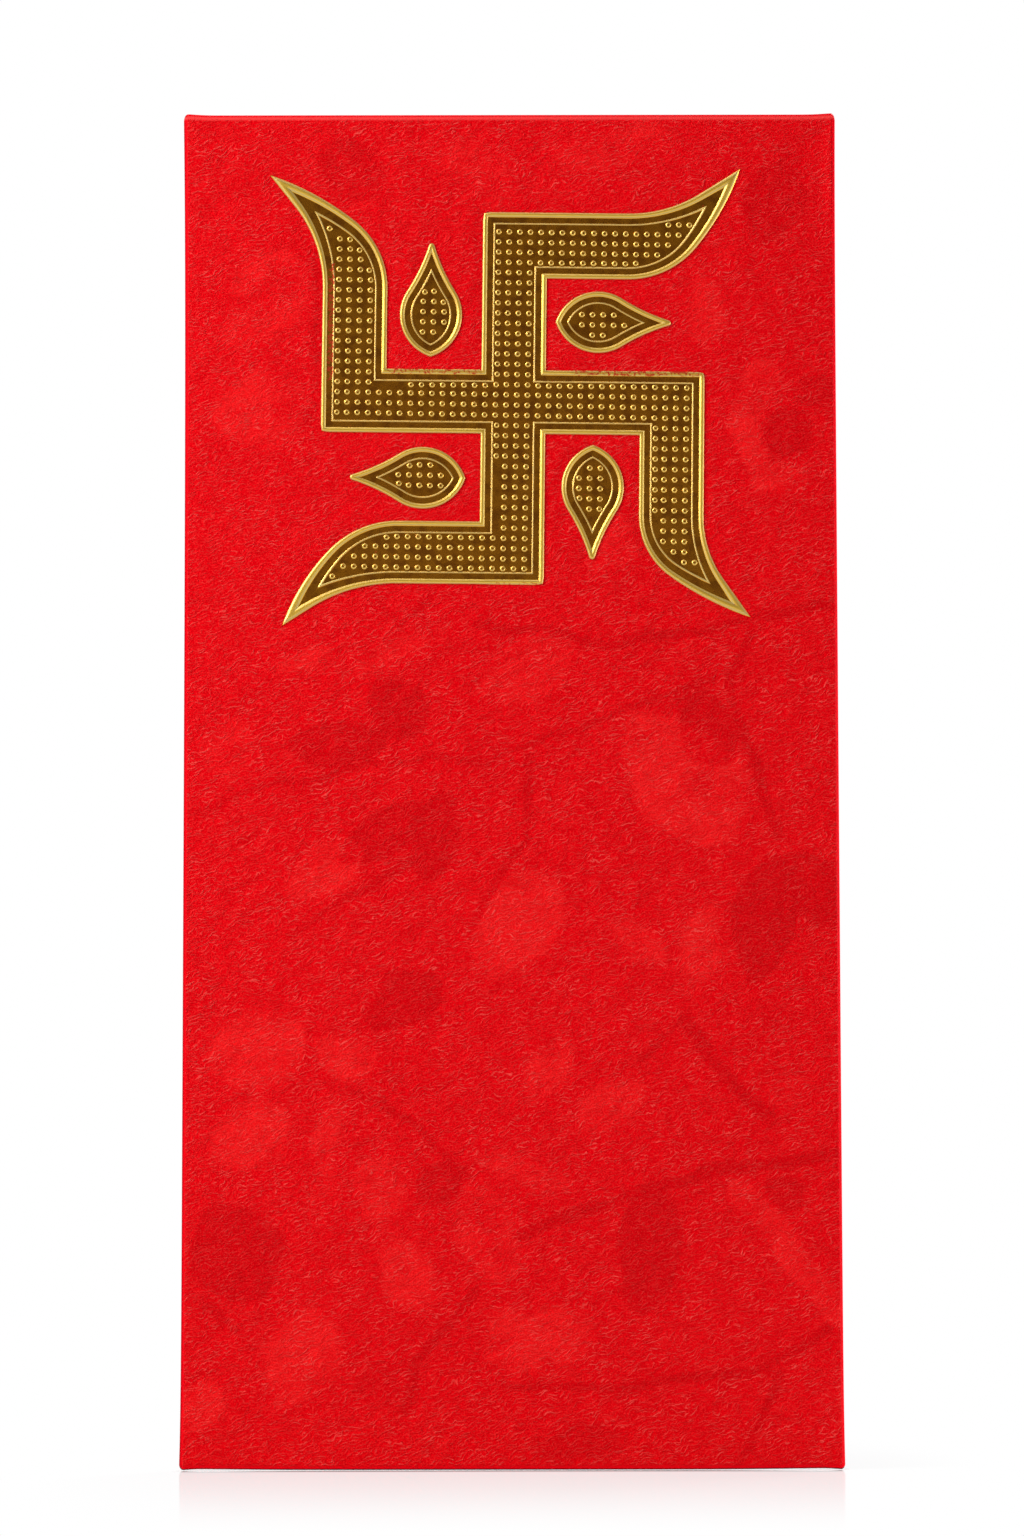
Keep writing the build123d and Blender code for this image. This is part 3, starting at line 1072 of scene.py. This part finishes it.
class Nodes:
    """A short way to write a material's nodes."""

    def __init__(self, owner):
        owner.use_nodes = True
        self.tree = owner.node_tree
        self.tree.nodes.clear()

    def add(self, kind, settings=None, **inputs):
        node = self.tree.nodes.new(kind)
        for key, value in (settings or {}).items():
            setattr(node, key, value)
        for key, value in inputs.items():
            self.set(node, key.replace("_", " "), value)
        return node

    def set(self, node, key, value):
        if isinstance(value, bpy.types.NodeSocket):
            self.tree.links.new(value, node.inputs[key])
        else:
            node.inputs[key].default_value = value

    def math(self, operation, first, second=0.0, clamp=False):
        node = self.add("ShaderNodeMath", {"operation": operation, "use_clamp": clamp})
        self.set(node, 0, first)
        self.set(node, 1, second)
        return node.outputs[0]

    def times(self, first, second):
        return self.math("MULTIPLY", first, second)

    def plus(self, first, second):
        return self.math("ADD", first, second)

    def most(self, first, second):
        return self.math("MAXIMUM", first, second)

    def line(self, value, slope, start):
        """A value times a slope, plus a start."""
        return self.plus(self.times(value, slope), start)

    def vectors(self, operation, *values):
        node = self.add("ShaderNodeVectorMath", {"operation": operation})
        for key, value in enumerate(values):
            self.set(node, key, value)
        return node.outputs[0]

    def mix(self, share, first, second):
        """A mix of two colours, which a Mix node takes in at 6 and 7 and gives out at 2."""
        node = self.add("ShaderNodeMix", {"data_type": "RGBA"})
        self.set(node, 0, share)
        self.set(node, 6, first)
        self.set(node, 7, second)
        return node.outputs[2]

    def shaders(self, share, first, second):
        """A mix of two shader nodes."""
        node = self.add("ShaderNodeMixShader")
        for key, value in enumerate((share, first.outputs[0], second.outputs[0])):
            self.set(node, key, value)
        return node

    def number(self, label, output="Fac"):
        return self.add("ShaderNodeAttribute", {"attribute_name": label}).outputs[output]

    def noise(self, place, scale, detail, roughness=0.5):
        node = self.add("ShaderNodeTexNoise", Vector=place, Scale=scale, Detail=detail, Roughness=roughness)
        return node.outputs["Fac"]

    def turned(self, place, degrees, stretch):
        turn = (0, 0, radians(degrees))
        node = self.add("ShaderNodeMapping", {"vector_type": "TEXTURE"}, Vector=place, Rotation=turn)
        self.set(node, "Scale", (stretch, 1, 1))
        return node.outputs[0]

    def band(self, value, middle, half_breadth):
        """1 where a value is at its middle, falling to 0 half a breadth away."""
        away = self.math("ABSOLUTE", self.math("SUBTRACT", value, middle))
        return self.math("SUBTRACT", 1.0, self.math("DIVIDE", away, half_breadth), clamp=True)

    def between(self, value, low, high):
        """Rises smoothly from 0 at low to 1 at high."""
        node = self.add("ShaderNodeMapRange", {"clamp": True, "interpolation_type": "SMOOTHSTEP"})
        for key, number in enumerate((value, low, high)):
            self.set(node, key, number)
        return node.outputs[0]

    def effect(self, value, low, high, strength):
        return self.times(self.between(value, low, high), strength)

    def bump(self, height, strength, distance):
        return self.add("ShaderNodeBump", Height=height, Strength=strength, Distance=distance).outputs[0]

    def surface(self, **inputs):
        """A material's shader and its output."""
        shader = self.add("ShaderNodeBsdfPrincipled", **inputs)
        self.add("ShaderNodeOutputMaterial", Surface=shader.outputs[0])


# The paper's colours
paper_dark = (0.67, 0.0, 0.0036, 1)
paper_plain = (0.785, 0.0002, 0.0044, 1)
paper_light = (0.90, 0.0080, 0.0105, 1)
# Paler fibres, partly their own colour and partly painted sheen; also the painted highlight on crests and
# grain
paper_fibre_sheen = (0.95, 0.120, 0.098, 1)
# Painted shade: darker red for the hollows of the paper's relief and the pits of its grain
paper_hollow_shade = (0.48, 0.0, 0.0015, 1)
# Painted highlight: a brighter plain red for the folds
paper_fold_highlight = (0.93, 0.0008, 0.0090, 1)
# Painted shade for the outer edge of the left fold
paper_left_fold_shade = (0.40, 0.0002, 0.0030, 1)
# Painted shade for the underside of the bottom fold
paper_under_fold_shade = (0.10, 0.0002, 0.0020, 1)
# Painted highlight: a paler pinkish red along the top fold
paper_top_fold_highlight = (0.95, 0.062, 0.058, 1)
paper_inside = (0.66, 0.012, 0.016, 1)
paper_cut = (0.86, 0.16, 0.14, 1)
# Its noises: scale per millimetre, detail and roughness
drift_scale = 0.4
drift_detail = 1.0
leather_noise = (1.3, 3.0, 0.55)
cloud_noise = (0.09, 3.0)
smear_noise = (0.24, 3.0, 0.55)
grain_noise = (4.6, 1.0, 0.6)
flock_noise = (0.3, 2.0)
break_noise = (1.9, 1.0)
# How far they drift in millimetres, and degrees from level and stretch of those that run along the paper
drift_reach = (2.0, 2.0, 0)
drift_middle = (0.5, 0.5, 0.5)
leather_run = (18, 2.2)
smear_run = (28, 1.9)
break_run = (0, 1.8)
# Its fibres: degrees from level, scale per millimetre and bend of the waves that they follow
fibre_waves = ((10, 0.70, 3.6), (28, 0.60, 4.4))
fibre_detail = 2.0
fibre_detail_scale = 2.6
# Where each effect starts and ends, and for some how strong it is
fibre_range = (0.84, 1.0)
fibre_tone_range = (-0.7, 0.0)
break_range = (0.44, 0.62)
flock_range = (0.36, 0.64)
grain_range = (0.32, 0.68)
light_range = (0.50, 1.15)
dark_range = (0.55, -0.10)
# Painted shade in the relief's hollows and the grain's pits
hollow_shade_effect = (0.52, 0.30, 0.35)
pit_shade_effect = (0.55, 0.0, 0.36)
# Painted highlights on the grain's tops and the relief's crests
grain_highlight_effect = (0.65, 1.0, 0.12)
crest_highlight_effect = (0.56, 0.76, 0.08)
fibre_sheen_share = 0.55
cloud_share = 0.7
smear_share = 0.5
shade_drop = 0.11
# Slopes and starts of lines
smear_line = (1.3, -0.05)
flock_line = (0.7, 0.3)
fibre_tone_line = (0.5, 0.5)
paper_rough_line = (0.15, 0.3)
# Its folds, with a painted highlight, and bands along them in quarter turns that paint shade on the left
# and lower folds and a highlight on the top fold: middle, half breadth, where full, strength and colour
fold_start_range = (0.05, 0.35)
fold_end_range = (1.95, 1.65)
# How strong the painted highlight on the folds is
fold_share = 0.85
painted_fold_bands = {
    # Painted shade along the left fold
    "left_share": (0.92, 0.88, 0.8, 1.0, paper_left_fold_shade),
    # Painted highlight along the top fold
    "over_share": (0.28, 0.26, 0.9, 0.8, paper_top_fold_highlight),
    # Painted shade under the bottom fold
    "under_share": (1.0, 0.5, 0.5, 1.0, paper_under_fold_shade),
}
cut_range = (0.1, 0.5)
# Its relief
fibre_relief = 0.2
grain_relief = 0.2
ripple_relief = 0.4
leather_relief = 1.4
paper_bump = 0.0001
paper_specular = 0.02


def paper_strokes(n, place):
    """Short raised fibres and the ripples that carry them, in two directions."""
    strokes = []
    ripples = []
    for degrees, scale, bend in fibre_waves:
        along = n.turned(place, degrees, 1.0)
        wave = n.add("ShaderNodeTexWave", {"bands_direction": "Y"}, Vector=along, Scale=scale)
        n.set(wave, "Distortion", bend)
        n.set(wave, "Detail", fibre_detail)
        n.set(wave, "Detail Scale", fibre_detail_scale)
        level = wave.outputs["Fac"]
        broken = n.between(n.noise(n.turned(along, *break_run), *break_noise), *break_range)
        strokes.append(n.times(n.between(level, *fibre_range), broken))
        ripples.append(n.times(level, broken))
    return n.most(*strokes), n.most(*ripples)


def print_red(n, place, tone, smear):
    """The print's plain, light and dark reds, mottled."""
    mottled = n.plus(tone, n.times(n.noise(place, *cloud_noise), cloud_share))
    mottled = n.plus(mottled, n.times(smear, smear_share))
    shade = n.math("SUBTRACT", mottled, shade_drop)
    red = n.mix(n.between(shade, *light_range), paper_plain, paper_light)
    return n.mix(n.between(shade, *dark_range), red, paper_dark)


def textured_red(n, red, leather, grain, fibre, plain):
    """Painted shade in the relief's hollows and the grain's pits, and painted highlights on its crests and
    grain; paler fibres, partly their own colour and partly painted sheen.
    """
    # Painted shade: the relief's hollows and the grain's pits are darkened
    dark = n.most(n.effect(leather, *hollow_shade_effect), n.effect(grain, *pit_shade_effect))
    red = n.mix(dark, red, paper_hollow_shade)
    # Painted highlight on the grain's tops and the relief's crests, and painted sheen on the fibres
    grain_highlight = n.effect(grain, *grain_highlight_effect)
    crest_highlight = n.effect(leather, *crest_highlight_effect)
    crest_highlight = n.most(crest_highlight, n.times(grain_highlight, plain))
    return n.mix(n.most(crest_highlight, n.times(fibre, fibre_sheen_share)), red, paper_fibre_sheen)


def edged_red(n, red, folded):
    """Painted highlights on the folds and along the top fold, painted shade along the left and lower folds,
    the inside and the cut edges.
    """
    # Painted highlight: the folds are brightened
    red = n.mix(n.times(folded, fold_share), red, paper_fold_highlight)
    # Painted shade along the left and lower folds, and a painted highlight along the top fold
    for label, (middle, half_breadth, full, strength, colour) in painted_fold_bands.items():
        band = n.band(n.number(label), middle, half_breadth)
        red = n.mix(n.effect(band, 0.0, full, strength), red, colour)
    colour = n.mix(n.number("printed_side"), paper_inside, red)
    return n.mix(n.between(n.number("cut_edge"), *cut_range), colour, paper_cut)


def paper_material():
    """Red paper with a tonal leaf print, leathery wrinkles, short raised fibres and a fine grain, with
    painted shade and highlights on its relief and folds.
    """
    material = bpy.data.materials.new("red_leaf_paper")
    n = Nodes(material)
    place = n.number("sheet_mm", "Vector")
    fold = n.number("fold_share")
    folded = n.times(n.between(fold, *fold_start_range), n.between(fold, *fold_end_range))
    plain = n.math("SUBTRACT", 1.0, folded)

    drift = n.add("ShaderNodeTexNoise", Vector=place, Scale=drift_scale, Detail=drift_detail)
    centred = n.vectors("SUBTRACT", drift.outputs["Color"], drift_middle)
    warped = n.vectors("MULTIPLY_ADD", centred, drift_reach, place)
    strokes, ripples = paper_strokes(n, warped)
    leather = n.noise(n.turned(warped, *leather_run), *leather_noise)
    smear = n.noise(n.turned(place, *smear_run), *smear_noise)
    grain = n.between(n.noise(place, *grain_noise), *grain_range)
    tone = n.times(n.number("print_tone"), n.line(smear, *smear_line))
    flock = n.between(n.noise(place, *flock_noise), *flock_range)
    fibre = n.times(n.times(strokes, plain), n.line(flock, *flock_line))
    fibre = n.times(fibre, n.line(n.between(tone, *fibre_tone_range), *fibre_tone_line))

    red = print_red(n, place, tone, smear)
    red = textured_red(n, red, leather, grain, fibre, plain)
    relief = n.plus(n.times(fibre, fibre_relief), n.times(grain, grain_relief))
    relief = n.plus(relief, n.times(n.times(ripples, plain), ripple_relief))
    relief = n.plus(relief, n.times(n.times(leather, leather_relief), plain))
    n.surface(
        Base_Color=edged_red(n, red, folded),
        Roughness=n.line(grain, *paper_rough_line),
        Specular_IOR_Level=paper_specular,
        Normal=n.bump(relief, 1.0, paper_bump),
    )
    return material


# The foil's colours
# Painted dark reflection: the deep bronze of the flat field, band and bead tops
foil_shaded_deep = (0.62, 0.225, 0.015, 1)
foil_dull = (0.42, 0.135, 0.012, 1)
foil_gold = (0.86, 0.53, 0.072, 1)
# Painted highlight: the paler gold of the bevels, the thin line and the bead slopes
foil_highlight = (0.60, 0.445, 0.165, 1)
foil_worn = (0.50, 0.05, 0.015, 1)
# Its noises: scale per millimetre, detail and roughness
dull_noise = (0.55, 3.0, 0.6)
speck_noise = (2.2, 3.0, 0.6)
patch_noise = (0.21, 1.0)
foil_grain_noise = (7.0, 2.0)
foil_bump_noise = (1.6, 3.0)
# Where each effect starts and ends, and how strong it is
high_mm_range = (0.23, 0.27)
dull_range = (0.42, 0.66)
gold_range = (0.0, 0.5)
gold_highlight_range = (0.5, 1.0)
speck_range = (0.68, 0.72)
patch_range = (0.52, 0.62)
worn_range = (0.74, 0.92)
wear_share = 0.5
worn_matt_share = 0.6
high_matt_share = 0.16
gold_highlight_matt_share = 0.25
foil_grain_share = 0.16
foil_roughness = 0.2
foil_specular = 0.1
foil_bump_strength = 0.2
foil_bump = 0.00004


def foil_material():
    """Stamped gold foil with painted highlights on its bevels, line and bead slopes and a painted dark
    reflection in its flat field and band, with a little wear.
    """
    material = bpy.data.materials.new("stamped_gold_foil")
    n = Nodes(material)
    place = n.number("foil_mm", "Vector")
    high = n.between(n.number("foil_height_mm"), *high_mm_range)
    gold_highlight = n.number("highlight_gold")
    # Painted dark reflection in the flat parts, mottled at random
    gold = n.mix(n.between(n.noise(place, *dull_noise), *dull_range), foil_shaded_deep, foil_dull)
    gold = n.mix(n.between(gold_highlight, *gold_range), gold, foil_gold)
    # Gold on the rim tops, then painted highlight on the bevels, line and bead slopes
    gold = n.mix(n.between(gold_highlight, *gold_highlight_range), gold, foil_highlight)
    speck = n.noise(place, *speck_noise)
    patch = n.noise(place, *patch_noise)
    worn = n.times(n.between(speck, *speck_range), n.between(patch, *patch_range))
    rubbed = n.plus(n.times(n.number("foil_wear"), wear_share), speck)
    worn = n.most(worn, n.between(rubbed, *worn_range))
    matt = n.most(n.times(high, high_matt_share), n.times(gold_highlight, gold_highlight_matt_share))
    grain = n.times(n.noise(place, *foil_grain_noise), foil_grain_share)
    n.surface(
        Base_Color=n.mix(worn, gold, foil_worn),
        Roughness=n.plus(grain, n.plus(matt, foil_roughness)),
        Metallic=n.math("SUBTRACT", 1.0, n.times(worn, worn_matt_share)),
        Specular_IOR_Level=foil_specular,
        Normal=n.bump(n.noise(place, *foil_bump_noise), foil_bump_strength, foil_bump),
    )
    return material


# The dried glue and gum
glue_colour = (0.75, 0.66, 0.48, 1)
gum_colour = (0.62, 0.10, 0.06, 1)
gum_dark_share = 0.72
gum_run = (0, 6.0)
gum_noise = (900.0, 3.0)
gum_rough_line = (0.3, 0.15)
gum_bump_strength = 0.2
gum_bump = 0.00005


def gum_material(name, colour):
    """Dried gum: a thin film with fine streaks."""
    material = bpy.data.materials.new(name)
    n = Nodes(material)
    place = n.add("ShaderNodeTexCoord").outputs["Object"]
    streak = n.noise(n.turned(place, *gum_run), *gum_noise)
    dark = tuple(gum_dark_share * c for c in colour[:3]) + (1,)
    n.surface(
        Base_Color=n.mix(streak, dark, colour),
        Roughness=n.line(streak, *gum_rough_line),
        Normal=n.bump(streak, gum_bump_strength, gum_bump),
    )
    return material


def make_paper():
    """The paper's three sheets, what the front and back ride on, and which nodes they stand for."""
    paper = paper_material()
    front = front_sheet(paper)
    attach(front, "envelope")
    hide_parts("front_panel", "left_crease", "right_crease", "left_side_tab", "right_side_tab")

    panel_length = back_high[2] - panel_bottom
    back = wing_sheet(
        "paper_back", bottom_radius, back_depth, bottom_radius, -1,
        back_rows, panel_length, back_shape, paper,
    )
    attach(back, "envelope")
    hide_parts("back_panel", "bottom_crease")

    flap_length = hinge_z - flap_low[2]
    flap = wing_sheet(
        "paper_flap", top_radius, 2 * top_radius, hinge_z, 1,
        flap_rows, flap_length, flap_shape, paper,
    )
    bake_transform(flap)
    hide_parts("closing_flap", "top_crease")


def make_foil():
    """The foil's five pieces, each in place of one node."""
    foil = foil_material()
    for node, loop in emblem_loops.items():
        piece = foil_piece("gilt_" + node.replace("_foil", ""), loop, foil)
        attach(piece, "envelope")
        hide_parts(node)


def make_glue():
    """The seam glue and the gum keep their nodes and get materials of their own."""
    glue = gum_material("seam_glue", glue_colour)
    gum = gum_material("flap_gum_film", gum_colour)
    for node, film in (("left_seam_glue", glue), ("right_seam_glue", glue), ("flap_gum", gum)):
        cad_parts[node].data.materials.clear()
        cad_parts[node].data.materials.append(film)


# The floor
white = (1, 1, 1, 1)
floor_colour = (0.93, 0.93, 0.93, 1)
floor_corners = ((-1, -1), (1, -1), (1, 1), (-1, 1))
floor_half_size = 3.0
floor_drop = 0.00005
floor_far = 0.13
floor_contact = (0.0014, 0.0060)
floor_side_share = 6.0
floor_lift_share = 0.7
floor_gloss_share = 0.72
floor_roughness = 0.08


def floor_material():
    """White in the view and in reflections, with the envelope's shade and reflection near it."""
    material = bpy.data.materials.new("white_floor")
    n = Nodes(material)
    matt = n.add("ShaderNodeBsdfDiffuse", Color=floor_colour)
    gloss = n.add("ShaderNodeBsdfGlossy", Color=white, Roughness=floor_roughness)
    rays = n.add("ShaderNodeLightPath").outputs
    seen = n.math("ADD", rays["Is Camera Ray"], rays["Is Glossy Ray"], clamp=True)
    seen = n.math("ADD", seen, rays["Is Transmission Ray"], clamp=True)
    near = n.shaders(n.times(seen, floor_gloss_share), matt, gloss)
    position = n.add("ShaderNodeNewGeometry").outputs["Position"]
    spot = n.add("ShaderNodeSeparateXYZ", Vector=position).outputs
    beside = n.most(n.math("SUBTRACT", n.math("ABSOLUTE", spot["X"]), half_width), 0.0)
    beside = n.math("POWER", n.times(beside, floor_side_share), 2.0)
    away = n.math("SQRT", n.plus(beside, n.math("POWER", spot["Y"], 2.0)))
    lift = n.line(n.between(away, 0.0, floor_far), 1 - floor_lift_share, floor_lift_share)
    lift = n.times(lift, n.between(away, *floor_contact))
    bright = n.add("ShaderNodeEmission", Color=white, Strength=1.0)
    mixed = n.shaders(n.times(seen, lift), near, bright)
    n.add("ShaderNodeOutputMaterial", Surface=mixed.outputs[0])
    return material


def make_floor():
    """A plain white floor that takes the envelope's soft shade and a faint reflection."""
    mesh = bpy.data.meshes.new("floor")
    corners = [(x * floor_half_size, y * floor_half_size, -floor_drop) for x, y in floor_corners]
    mesh.from_pydata(corners, [], [(0, 1, 2, 3)])
    mesh.materials.append(floor_material())
    floor = add_object("floor", mesh)


# The world's level for plain light, and what mirrors show from behind the camera to behind the object
world_level = (0.17, 0.17, 0.17, 1)
world_dim = (0.14, 0.14, 0.14, 1)
world_rise = (-0.98, 0.1)
# Each lamp: its name, place, size and power in watts
lamps = [
    ("key", (-0.50, -0.30, 0.43), 0.28, 4.4),
    ("fill", (0.55, -0.55, 0.06), 0.4, 0.2),
    ("back", (0.30, 0.45, 0.55), 0.16, 2.2),
    ("side", (0.60, 0.0, 0.10), 0.2, 2.2),
    ("top", (-0.06, -0.10, 0.62), 0.2, 0.3),
]


def make_world():
    """A white studio: bright behind and at the sides, dimmer behind the camera."""
    world = bpy.data.worlds.new("studio")
    bpy.context.scene.world = world
    n = Nodes(world)
    way = n.add("ShaderNodeSeparateXYZ", Vector=n.add("ShaderNodeTexCoord").outputs["Generated"])
    shown = n.mix(n.between(way.outputs["Y"], *world_rise), world_dim, white)
    rays = n.add("ShaderNodeLightPath").outputs
    mirrored = n.math("ADD", rays["Is Glossy Ray"], rays["Is Transmission Ray"], clamp=True)
    level = n.mix(mirrored, world_level, shown)
    level = n.mix(rays["Is Camera Ray"], level, white)
    background = n.add("ShaderNodeBackground", Color=level, Strength=1.0)
    n.add("ShaderNodeOutputWorld", Surface=background.outputs[0])


def make_lamps():
    """Soft lamps that look at the envelope's middle."""
    for name, place, size, power in lamps:
        lamp = bpy.data.lights.new(name, "AREA")
        lamp.size = size
        lamp.energy = power
        lamp_object = add_object(name, lamp)
        lamp_object.location = place
        aim = Vector((0, 0, height / 2)) - Vector(place)
        lamp_object.rotation_euler = aim.to_track_quat("-Z", "Y").to_euler()


def make_camera():
    """A camera where the photograph was taken from."""
    camera = bpy.data.cameras.new("camera")
    camera.lens = camera_lens_mm
    camera.sensor_width = camera_sensor_mm
    camera.clip_start = camera_clip_start
    viewer = add_object("camera", camera)
    place = Matrix.Translation((camera_side, -camera_distance, camera_height))
    turn = Matrix.Rotation(pi / 2 + camera_pitch, 4, "X") @ Matrix.Rotation(camera_roll, 4, "Z")
    viewer.matrix_world = place @ turn
    bpy.context.scene.camera = viewer


make_paper()
make_foil()
make_glue()
make_floor()
make_world()
make_lamps()
make_camera()
bpy.context.scene.view_settings.view_transform = "Standard"
